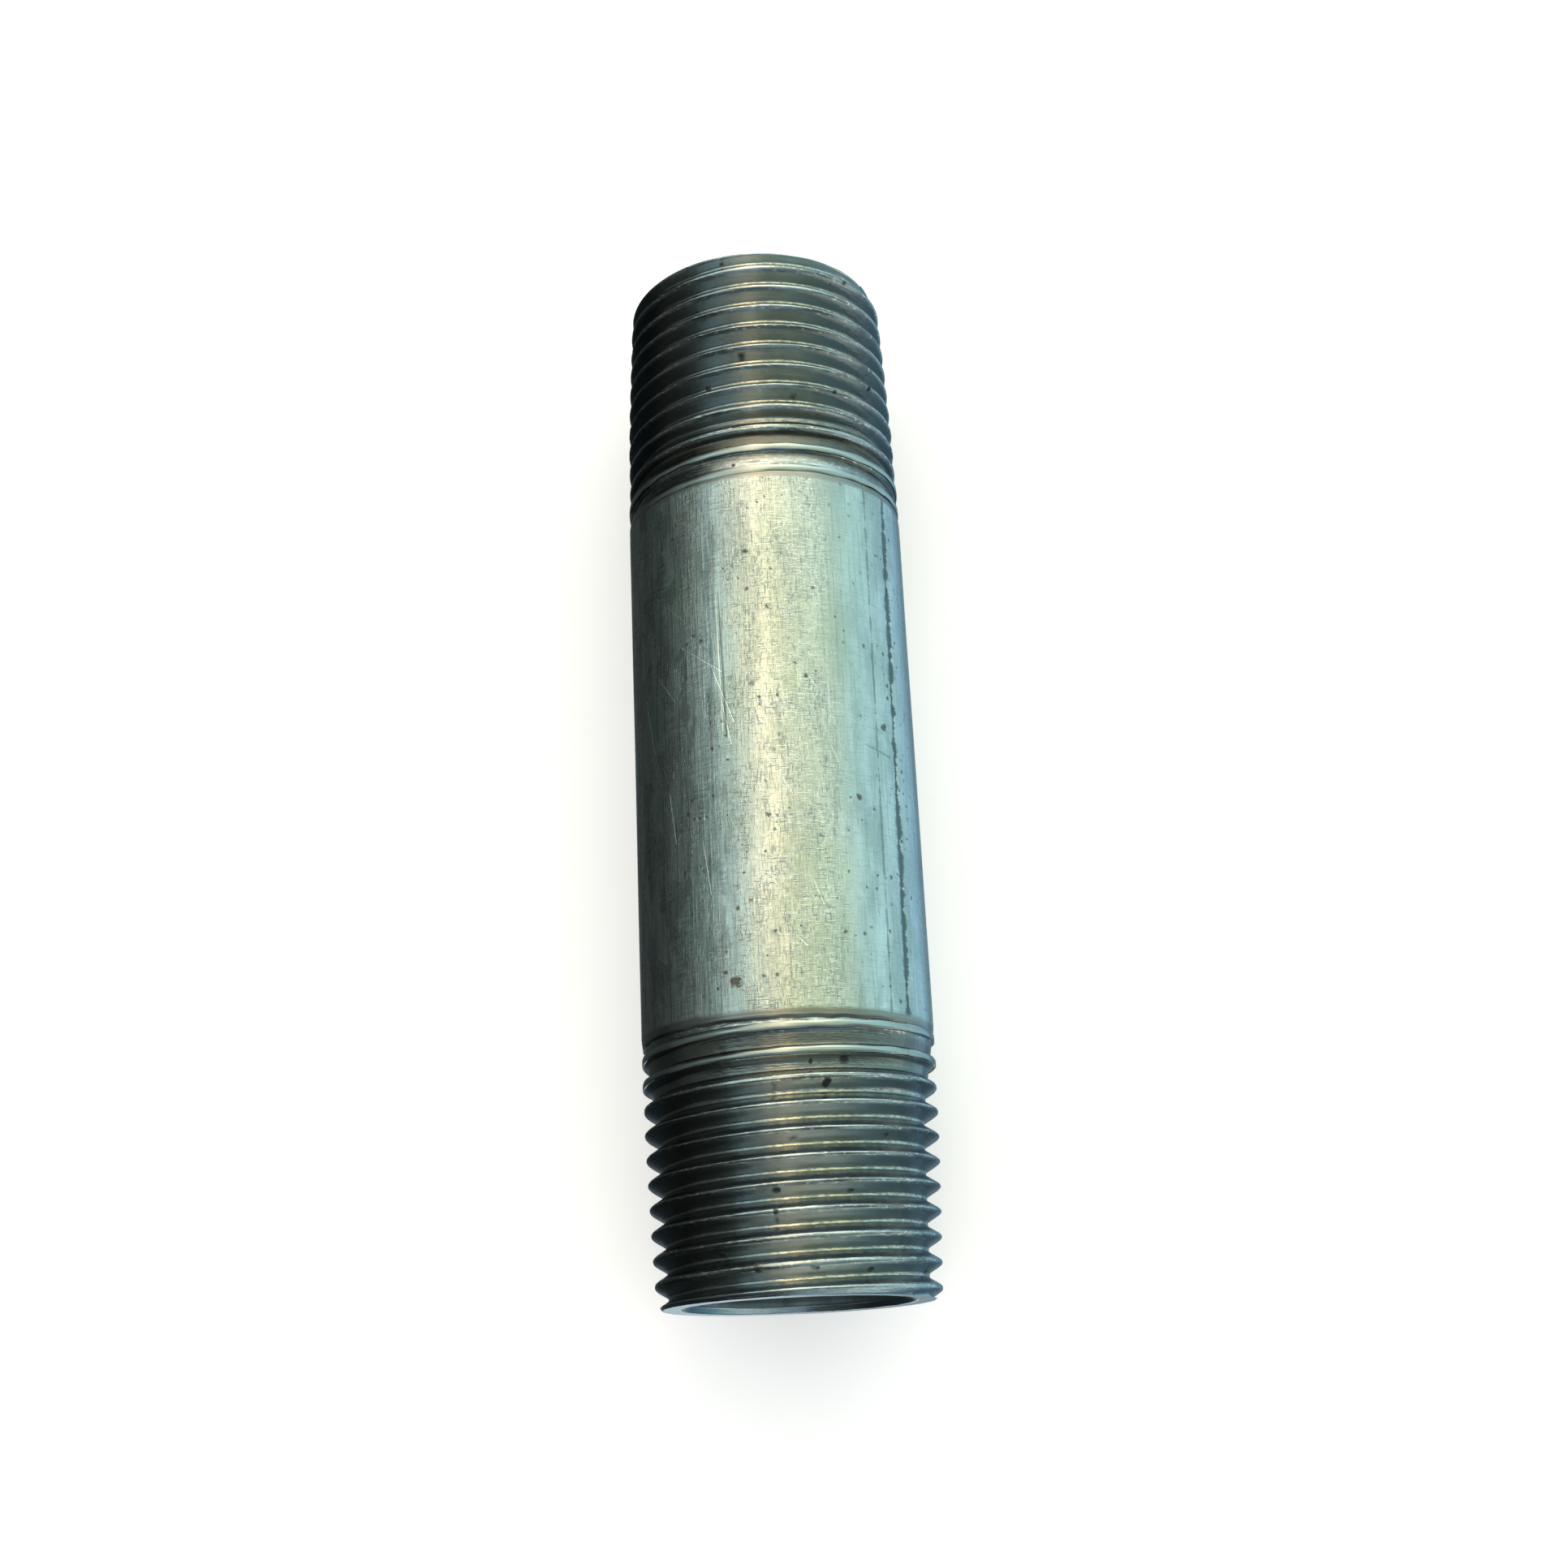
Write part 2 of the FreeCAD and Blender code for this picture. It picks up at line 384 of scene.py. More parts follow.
class SteelWall:
    """The threaded steel of the pipe, in two pieces: the rolled strip and its weld."""

    FLANK_STEPS = (0.0, 0.02, 0.05, 0.1, 0.15, 0.2, 0.25, 0.3, 0.35, 0.4, 0.44, 0.47)
    EDGE_STEP = 0.07
    HIDDEN_ROWS = 6
    STRIP_COLUMNS = 353
    WELD_COLUMNS = 11
    SEED = 11
    DENTS = (Dents(21, 150, 0.045, 1.3, 0.16), Dents(22, 60, 0.09, 0.8, 0.1))
    FACE_MARK = 0.8

    def __init__(self, pipe: PipeSizes, near: TaperThread, far: TaperThread) -> None:
        """Keep the sizes and work out the section's corners."""
        self.pipe = pipe
        self.near = near
        self.far = far
        half, ream = pipe.half, pipe.ream
        corners = [
            (-half, pipe.face_radius),
            (half, pipe.face_radius),
            (half, pipe.steel_bore + ream),
            (half - ream, pipe.steel_bore),
            (-half + ream, pipe.steel_bore),
            (-half, pipe.steel_bore + ream),
            (-half, pipe.face_radius),
        ]
        self.corner_along = np.array([along for along, _ in corners])
        self.corner_radius = np.array([radius for _, radius in corners])
        steps = np.hypot(np.diff(self.corner_along), np.diff(self.corner_radius))
        self.corner_path = np.concatenate([[0.0], np.cumsum(steps)])

    def section_rows(self) -> Rows:
        """Places round the section, at the top of the pipe: close together on what shows."""
        pitch = self.near.pitch
        total = self.corner_path[-1]
        edge = self.corner_path[3] - self.corner_path[1]
        steps = np.array(self.FLANK_STEPS + tuple(1 - step for step in self.FLANK_STEPS[1:]) + (0.5,))
        turns = np.arange(-4, 60)[:, None]
        marks = np.sort(((turns + np.sort(steps)[None, :]) * pitch).ravel())
        near_marks = marks + self.near.root_offset
        near_end = self.near.length + 2 * pitch
        near_marks = near_marks[(near_marks > -pitch / 4) & (near_marks < near_end)]
        far_marks = self.pipe.length - self.far.root_offset - marks
        far_start = self.pipe.length - self.far.length - pitch / 2
        far_marks = np.sort(far_marks[(far_marks > far_start) & (far_marks < self.pipe.length + pitch)])
        near_face = np.arange(near_marks[0] - self.EDGE_STEP, -edge - pitch / 4, -self.EDGE_STEP)[::-1]
        far_face = np.arange(
            far_marks[-1] + self.EDGE_STEP, self.pipe.length + edge + pitch, self.EDGE_STEP
        )
        middle = np.linspace(near_marks[-1], far_marks[0], self.HIDDEN_ROWS + 2)[1:-1]
        bore = np.linspace(far_face[-1], total + near_face[0], self.HIDDEN_ROWS + 2)[1:-1]
        return np.concatenate([near_face, near_marks, middle, far_marks, far_face, bore])

    def strip(self) -> Piece:
        """The rolled strip: all round the pipe but for the weld."""
        pipe = self.pipe
        first = pipe.seam_angle + pipe.seam_sweep / 2 - FULL_TURN
        return self.build("strip", first, FULL_TURN - pipe.seam_sweep, self.STRIP_COLUMNS)

    def weld(self) -> Piece:
        """The fused edges of the strip."""
        pipe = self.pipe
        return self.build("weld", pipe.seam_angle - pipe.seam_sweep / 2, pipe.seam_sweep, self.WELD_COLUMNS)

    def build(self, name: str, first: float, sweep: float, columns: int) -> Piece:
        """One piece of the wall.

        Args:
            name: the piece's name.
            first: angle where it starts.
            sweep: degrees that it takes up.
            columns: how many columns round the pipe.

        Returns:
            The new object.
        """
        pipe = self.pipe
        angle = np.linspace(first, first + sweep, columns)
        path = self.section_rows()[:, None] + self.near.pitch * angle[None, :] / FULL_TURN
        path = path % self.corner_path[-1]
        along = np.interp(path, self.corner_path, self.corner_along)
        radius = np.interp(path, self.corner_path, self.corner_radius)
        outer = path < pipe.length
        turned = angle[None, :]
        threads = np.minimum(self.near.surface(turned, along), self.far.surface(turned, along))
        threads = np.minimum(threads, pipe.steel_radius)
        to_face = pipe.half - np.abs(along)
        top = np.minimum(self.near.crest(to_face) - 0.03, pipe.steel_radius)
        height = np.clip(1 + (threads - top) / (self.near.crest_at_face - self.near.root_at_face), 0, 1)
        for dents in self.DENTS:
            for thread in (self.near, self.far):
                reach = sorted((thread.last_mark, thread.end.value * pipe.half))
                threads = threads + dents.heights(turned, along, tuple(reach)) * height**3
        rng = np.random.default_rng(self.SEED)
        chatter = waves(rng, turned, along, 10, 60, 1.6) * 0.004
        chatter += waves(rng, turned, along, 8, 9, 6.0) * 0.006
        threads = threads + chatter * height
        threads = np.minimum(threads, pipe.face_radius + to_face)
        radius = np.where(outer, threads, radius)
        crest = np.where(outer, height, 0.0)
        face = np.where(outer, np.clip(1 - to_face / self.FACE_MARK, 0, 1), 1.0)
        roots = np.maximum(self.near.root_mark(turned, along), self.far.root_mark(turned, along))
        root = np.where(outer, roots, 0)
        shallow = np.clip((to_face - self.near.full_length - 0.5) / 2.0, 0, 1)
        marks = {"crest": crest, "face": face, "root": root * (1 - shallow), "shallow": shallow}
        return sweep_section(name, angle, along, radius, False, marks)


class OutsideZinc:
    """Zinc on the barrel, and what is left of it on the vanishing crests."""

    COLUMN_STEP = 1.0
    ROW_STEP = 0.13
    SEAM_STEP = 0.25
    SEED = 5
    RIBBON_SEED = 31
    SLANT = 0.68
    BEVEL = (1.0, 0.66, 0.33)
    FOOT = 0.03
    WHOLE_RIBBON = 2.0

    def __init__(self, pipe: PipeSizes, near: TaperThread, far: TaperThread) -> None:
        """Keep the sizes that the coat runs between."""
        self.pipe = pipe
        self.near = near
        self.far = far

    def columns(self) -> Rows:
        """Angles round the pipe, closer together across the weld line."""
        start = self.pipe.seam_angle - self.pipe.seam_sweep / 2
        stop = start + self.pipe.seam_sweep
        seam = np.arange(start, stop, self.SEAM_STEP)
        return np.concatenate([seam, np.arange(stop, start + FULL_TURN, self.COLUMN_STEP)])

    def barrel(self) -> Piece:
        """The coat on the plain barrel, cut to a slant by the die at both ends."""
        pipe = self.pipe
        angle = self.columns()
        rng = np.random.default_rng(self.SEED)
        near_edge = self.near.last_mark + waves(rng, angle, 0 * angle, 12, 40, 9.0) * 0.02
        far_edge = self.far.last_mark + waves(rng, angle, 0 * angle, 12, 40, 9.0) * 0.02
        count = int((self.far.last_mark - self.near.last_mark) / self.ROW_STEP)
        share = np.linspace(0, 1, count)[:, None]
        top = near_edge + (far_edge - near_edge) * share
        bevel = np.array(self.BEVEL)[:, None]
        near_bevel = near_edge - self.SLANT * bevel
        far_bevel = far_edge + self.SLANT * bevel[::-1]
        inner = np.stack([far_bevel[-1], near_bevel[0]])
        along = np.concatenate([near_bevel, top, far_bevel, inner])
        radius = np.full(along.shape, pipe.outside_radius)
        radius[:3] -= pipe.zinc * bevel
        radius[3 + count:6 + count] -= pipe.zinc * bevel[::-1]
        radius[-2:] -= pipe.zinc + self.FOOT
        shape = slice(3, 3 + count)
        lumps = waves(rng, angle[None, :], top, 14, 7, 9.0) * 0.006
        lumps += waves(rng, angle[None, :], top, 16, 48, 30.0) * 0.003
        off_seam = angle[None, :] - pipe.seam_angle - pipe.seam_lean * top
        lumps -= 0.04 * np.exp(-((off_seam / 1.1) ** 2))
        lumps += 0.012 * np.exp(-(((off_seam - 3.0) / 2.5) ** 2))
        fade = np.clip(np.minimum(share, 1 - share) * 30, 0, 1)
        radius[shape] += lumps * fade
        cut = np.zeros(along.shape)
        cut[:3] = 1
        cut[3 + count:] = 1
        return sweep_section("outside_zinc", angle, along, radius, True, {"cut": cut})

    def crest_ribbon(self, thread: TaperThread, name: str, turns: tuple[float, float]) -> Piece:
        """Zinc on the lands of the vanishing crests, as one long thin ribbon.

        Args:
            thread: the end that it is on.
            name: the piece's name.
            turns: where it starts under the barrel's coat and where it wears out.

        Returns:
            The new object.
        """
        pipe = self.pipe
        start, stop = turns
        count = int(abs(stop - start) * FULL_TURN / 1.5)
        travel = np.linspace(start, stop, count)
        angle = travel * FULL_TURN
        centre = thread.crest_line(travel)
        rng = np.random.default_rng(self.RIBBON_SEED + thread.end.value)
        rag = 1 + 0.14 * waves(rng, angle, centre, 14, 30, 3.0)
        worn = np.clip(np.abs(travel - stop) / 0.35, 0, 1)
        half_width = (thread.crest_half_width(centre, pipe.outside_radius) + 0.03) * rag * worn + 0.004
        foot = 0.045 * worn + 0.002
        sink = 0.012 * np.clip(1 - np.abs(travel - start) / 0.1, 0, 1)
        peak = pipe.outside_radius - sink - (1 - worn) * (pipe.zinc + 0.01)
        peak = peak + waves(rng, angle, centre, 12, 24, 3.0) * 0.003
        base = pipe.steel_radius - self.FOOT
        offsets = [-half_width - foot, -half_width, 0 * half_width, half_width, half_width + foot]
        heights = [0 * peak + base, peak - 0.012, peak, peak - 0.012, 0 * peak + base]
        along = centre[None, :] + np.stack(offsets)
        radius = np.stack(heights)
        marks = {"cut": np.full(radius.shape, self.WHOLE_RIBBON)}
        return sweep_section(name, angle, along, radius, False, marks)


class BoreZinc:
    """Zinc in the bore, lumpy, with a low bead along the weld."""

    BEAD = 0.1
    BEAD_HALF_SWEEP = 4.5
    SEED = 8

    def __init__(self, pipe: PipeSizes) -> None:
        """Keep the pipe's sizes."""
        self.pipe = pipe

    def build(self) -> Piece:
        """The lining, cut off along the reamed edges."""
        pipe = self.pipe
        angle = np.arange(0, FULL_TURN, 1.5)
        end = pipe.half - pipe.ream
        edge = np.array([0.0, 0.1, 0.3])
        ramp = np.concatenate([edge, np.linspace(0.6, 2 * end - 0.6, 180), 2 * end - edge[::-1]])
        inner = (-end + ramp)[:, None] + 0 * angle[None, :]
        rng = np.random.default_rng(self.SEED)
        bead = np.exp(-(((angle - pipe.seam_angle) / self.BEAD_HALF_SWEEP) ** 2)) * self.BEAD
        lumps = waves(rng, angle[None, :], inner, 20, 14, 3.0) * 0.012 + bead[None, :]
        lumps *= np.clip((end - np.abs(inner)) / 0.5, 0, 1)
        surface = pipe.bore_radius - lumps
        surface[[0, -1]] = pipe.bore_radius + pipe.zinc * 0.7
        outer = np.full((2, len(angle)), pipe.steel_bore + 0.02)
        back = np.stack([np.full(len(angle), end - 0.5), np.full(len(angle), -end + 0.5)])
        along = np.concatenate([inner, back])[::-1]
        radius = np.concatenate([surface, outer])[::-1]
        return sweep_section("bore_zinc", angle, along, radius, True, {})


# ---------------------------------------------------------------------------------------------
# Shader graph helpers


class Signal:
    """A value in a node graph. Arithmetic on it makes Math nodes, and | is the larger of two."""

    def __init__(self, graph: "Graph", socket: bpy.types.NodeSocket) -> None:
        """Wrap an output socket."""
        self.graph = graph
        self.socket = socket

    def __mul__(self, other: Value) -> "Signal":
        """A product."""
        return self.graph.math("MULTIPLY", self, other)

    def __add__(self, other: Value) -> "Signal":
        """A sum."""
        return self.graph.math("ADD", self, other)

    def __sub__(self, other: Value) -> "Signal":
        """A difference."""
        return self.graph.math("SUBTRACT", self, other)

    def __rsub__(self, other: Value) -> "Signal":
        """A plain value less this one."""
        return self.graph.math("SUBTRACT", other, self)

    def __or__(self, other: Value) -> "Signal":
        """The larger of two values."""
        return self.graph.math("MAXIMUM", self, other)


class Graph:
    """A node tree, with the few kinds of node that the finishes use."""

    def __init__(self, tree: Tree) -> None:
        """Wrap a node tree."""
        self.tree = tree

    def add(self, kind: str, **settings: object) -> Node:
        """A new node with its settings."""
        node = self.tree.nodes.new(kind)
        for name, value in settings.items():
            setattr(node, name, value)
        return node

    def feed(self, socket: bpy.types.NodeSocket, value: Value) -> None:
        """Link a socket, or set its plain value."""
        if isinstance(value, Signal):
            self.tree.links.new(value.socket, socket)
        else:
            socket.default_value = value

    def run(self, node: Node, output: str | int, *values: Value, **named: Value) -> Signal:
        """Feed a node's inputs, in order or by name, and take one output.

        Args:
            node: the node.
            output: the output's name or number.
            values: for the first inputs.
            named: for inputs by name, in lower case and with _ for a space.

        Returns:
            The output.
        """
        for socket, value in zip(node.inputs, values):
            self.feed(socket, value)
        for name, value in named.items():
            self.feed(node.inputs[name.replace("_", " ").title()], value)
        return Signal(self, node.outputs[output])

    def math(self, operation: str, first: Value, second: Value = 0.0, clamp: bool = False) -> Signal:
        """A Math node."""
        return self.run(self.add("ShaderNodeMath", operation=operation, use_clamp=clamp), 0, first, second)

    def distance(self, across: Signal, along: Signal) -> Signal:
        """Length of a flat vector."""
        return self.math("SQRT", across * across + along * along)

    def vector(self, operation: str, first: Value, second: Value) -> Signal:
        """A Vector Math node with a vector result."""
        return self.run(self.add("ShaderNodeVectorMath", operation=operation), "Vector", first, second)

    def combine(self, x: Value, y: Value, z: Value) -> Signal:
        """A vector from three values."""
        return self.run(self.add("ShaderNodeCombineXYZ"), 0, x, y, z)

    def split(self, vector: Signal) -> tuple[Signal, Signal, Signal]:
        """The three parts of a vector."""
        node = self.add("ShaderNodeSeparateXYZ")
        self.feed(node.inputs[0], vector)
        return tuple(Signal(self, part) for part in node.outputs)

    def place(self) -> Signal:
        """Place on the object, in millimetres."""
        return self.vector("MULTIPLY", self.run(self.add("ShaderNodeTexCoord"), "Object"), (PER_METRE,) * 3)

    def stretched(self, across: Value, along: Value, shift: Signal) -> Signal:
        """Place on the object, scaled across and along the pipe, and then moved."""
        scaled = self.vector("MULTIPLY", self.place(), self.combine(across, along, across))
        return self.vector("ADD", scaled, shift)

    def unrolled(self, radius: float) -> tuple[Signal, Signal]:
        """Millimetres round the surface from the top, and along the pipe."""
        x, y, z = self.split(self.place())
        return self.math("ARCTAN2", x, z) * radius, y

    def noise(
        self, vector: Signal, scale: float, detail: float = 2.0, roughness: float = 0.5, output: str = "Fac"
    ) -> Signal:
        """Cloudy values from 0 to 1."""
        node = self.add("ShaderNodeTexNoise")
        return self.run(node, output, vector=vector, scale=scale, detail=detail, roughness=roughness)

    def fade(self, value: Value, low: Value, high: Value, to_low: Value = 0.0, to_high: Value = 1.0) -> Signal:
        """Smooth step from one value to another."""
        node = self.add("ShaderNodeMapRange", interpolation_type="SMOOTHSTEP")
        return self.run(node, "Result", value, low, high, to_low, to_high)

    def blend(self, mask: Value, first: Value, second: Value) -> Signal:
        """One colour turning into another as the mask goes from 0 to 1."""
        return self.run(self.add("ShaderNodeMix", data_type="RGBA"), "Result", factor=mask, a=first, b=second)

    def layers(self, base: Value, *coats: tuple[Value, Value]) -> Value:
        """Colours laid one over another, each where its mask is."""
        for mask, colour in coats:
            base = self.blend(mask, base, colour)
        return base

    def mark(self, name: str) -> Signal:
        """A named value of the mesh's points."""
        return self.run(self.add("ShaderNodeAttribute", attribute_name=name), "Fac")

    def effect(self, group: Tree, *values: Value) -> Signal:
        """Mask of a shared effect, with values in the order of its inputs."""
        return self.run(self.add("ShaderNodeGroup", node_tree=group), "Mask", *values)

    def grain(self, group: Tree, *values: Value) -> tuple[Signal, Signal]:
        """Mask and height of a shared effect."""
        mask = self.effect(group, *values)
        return mask, Signal(self, mask.socket.node.outputs["Height"])


def new_group(name: str, inputs: dict[str, float], *outputs: str) -> tuple[Graph, list[Signal], Node]:
    """Start a shared effect.

    Args:
        name: the group's name.
        inputs: named values and their defaults.
        outputs: named results.

    Returns:
        Its graph, its inputs and its output node.
    """
    graph = Graph(bpy.data.node_groups.new(name, "ShaderNodeTree"))
    for label, default in inputs.items():
        socket = graph.tree.interface.new_socket(name=label, in_out="INPUT", socket_type="NodeSocketFloat")
        socket.default_value = default
    for label in outputs:
        graph.tree.interface.new_socket(name=label, in_out="OUTPUT", socket_type="NodeSocketFloat")
    given = graph.add("NodeGroupInput").outputs
    return graph, [Signal(graph, given[label]) for label in inputs], graph.add("NodeGroupOutput")


class Effects:
    """Effects that more than one finish uses, each a node group built once."""

    def __init__(self, pipe: PipeSizes) -> None:
        """Build every group."""
        self.radius = pipe.outside_radius
        self.arc = math.radians(1.0) * self.radius
        self.lines = self.build_lines()
        self.specks = self.build_specks()
        self.clouds = self.build_clouds()
        self.draw_line = self.build_draw_line()
        self.scratch = self.build_scratch()
        self.spot = self.build_spot()

    def build_lines(self) -> Tree:
        """Fine parallel lines: rubbing, drawing or turning marks, by how the noise is stretched."""
        inputs = {"Across": 8.0, "Along": 0.3, "Start": 0.52, "Blur": 0.15, "Shift": 0.0}
        graph, (across, along, start, blur, shift), result = new_group("fine_lines", inputs, "Mask", "Height")
        value = graph.noise(graph.stretched(across, along, graph.combine(shift, shift, 0.0)), 1.0, 2.0, 0.55)
        graph.feed(result.inputs["Mask"], graph.fade(value, start, start + blur))
        graph.feed(result.inputs["Height"], value)
        return graph.tree

    def build_specks(self) -> Tree:
        """Scattered specks of uneven size, used for dirt, pits and bright burrs painted as glints."""
        inputs = {"Spacing": 0.7, "Size": 0.12, "Share": 0.5, "Shift": 0.0}
        graph, (spacing, size, share, shift), result = new_group("specks", inputs, "Mask")
        place = graph.place()
        bend = graph.vector("MULTIPLY", graph.noise(place, 4.0, 4.0, output="Color"), (0.35, 0.35, 0.35))
        moved = graph.vector("ADD", graph.vector("ADD", place, bend), graph.combine(shift, 0.0, shift))
        cells = graph.add("ShaderNodeTexVoronoi")
        fineness = graph.math("DIVIDE", 1.0, spacing)
        distance = graph.run(cells, "Distance", vector=moved, scale=fineness) * spacing
        pick, grade, _ = graph.split(graph.run(cells, "Color"))
        kept = graph.math("LESS_THAN", pick, share)
        reach = size * graph.math("POWER", grade, 2.0)
        inside = graph.fade(distance, reach * 0.4, reach, 1.0, 0.0)
        thick = graph.fade(graph.noise(moved, 0.45, 3.0), 0.42, 0.58)
        graph.feed(result.inputs["Mask"], inside * kept * thick)
        return graph.tree

    def build_clouds(self) -> Tree:
        """Soft blotches, which can be drawn out along the pipe."""
        inputs = {"Across": 0.3, "Along": 0.3, "Low": 0.4, "High": 0.65, "Shift": 0.0}
        graph, (across, along, low, high, shift), result = new_group("clouds", inputs, "Mask")
        place = graph.stretched(across, along, graph.combine(shift, 0.0, shift))
        graph.feed(result.inputs["Mask"], graph.fade(graph.noise(place, 1.0, 4.0, 0.6), low, high))
        return graph.tree

    def build_draw_line(self) -> Tree:
        """A wandering line along the pipe, at an angle that may lean."""
        inputs = {"Angle": 0.0, "Lean": 0.0, "Width": 0.2, "Waver": 0.1, "Gaps": 0.4}
        graph, (angle, lean, width, waver, gaps), result = new_group("draw_line", inputs, "Mask")
        around, along = graph.unrolled(self.radius)
        middle = (angle + lean * along) * self.arc
        wander = graph.noise(graph.combine(0.0, along, angle), 1.1, 5.0, 0.7) - 0.5
        off = graph.math("ABSOLUTE", around - middle - wander * waver)
        swell = graph.noise(graph.combine(angle, along, 4.0), 0.9, 4.0, 0.7)
        reach = width * graph.fade(swell, gaps, 0.62, 0.15, 1.0)
        graph.feed(result.inputs["Mask"], graph.fade(off, reach * 0.3, reach, 1.0, 0.0))
        return graph.tree

    def build_scratch(self) -> Tree:
        """One straight scratch between two places given by angle and position along the pipe."""
        inputs = {"From Angle": 0.0, "From Along": 0.0, "To Angle": 5.0, "To Along": 2.0, "Width": 0.05}
        graph, given, result = new_group("scratch", inputs, "Mask")
        from_angle, from_along, to_angle, to_along, width = given
        around, along = graph.unrolled(self.radius)
        start = from_angle * self.arc
        run_x, run_y = to_angle * self.arc - start, to_along - from_along
        off_x, off_y = around - start, along - from_along
        square = run_x * run_x + run_y * run_y
        share = graph.math("DIVIDE", off_x * run_x + off_y * run_y, square, clamp=True)
        gap = graph.distance(off_x - share * run_x, off_y - share * run_y)
        taper = width * graph.fade(share, 0.0, 0.3, 0.35, 1.0)
        graph.feed(result.inputs["Mask"], graph.fade(gap, taper * 0.35, taper, 1.0, 0.0))
        return graph.tree

    def build_spot(self) -> Tree:
        """One ragged spot."""
        inputs = {"Angle": 0.0, "Along": 0.0, "Size": 0.3}
        graph, (angle, middle, size), result = new_group("spot", inputs, "Mask")
        around, along = graph.unrolled(self.radius)
        gap = graph.distance(around - angle * self.arc, along - middle)
        rag = (graph.noise(graph.place(), 3.5, 4.0, 0.7) - 0.5) * size
        graph.feed(result.inputs["Mask"], graph.fade(gap + rag * 2.2, size * 0.6, size * 1.15, 1.0, 0.0))
        return graph.tree


# ---------------------------------------------------------------------------------------------
# Finishes

Colour = tuple


def rgb(red: float, green: float, blue: float) -> Colour:
    """An opaque colour."""
    return (red, green, blue, 1.0)


@dataclass(frozen=True)
class MetalFinish:
    """What every metal finish of the pipe has: a shader whose base, gloss and relief vary."""

    name: str
    metallic: float = 1.0
    relief: float = 0.00001

    def paint(self, graph: Graph, effects: Effects) -> tuple[Value, Value, Value]:
        """What varies over the surface.

        Args:
            graph: the material's graph.
            effects: the shared groups.

        Returns:
            Base colour, roughness, and height, where 1 is the finish's relief depth.
        """
        raise NotImplementedError

    def build(self, effects: Effects) -> bpy.types.Material:
        """Make the material."""
        material = bpy.data.materials.new(self.name)
        material.use_nodes = True
        material.node_tree.nodes.clear()
        graph = Graph(material.node_tree)
        colour, rough, height = self.paint(graph, effects)
        normal = graph.run(
            graph.add("ShaderNodeBump"), "Normal", strength=1.0, distance=self.relief, height=height
        )
        shader = graph.add("ShaderNodeBsdfPrincipled")
        metal = graph.run(
            shader, "BSDF", base_color=colour, metallic=self.metallic, roughness=rough, normal=normal
        )
        graph.feed(graph.add("ShaderNodeOutputMaterial").inputs["Surface"], metal)
        return material


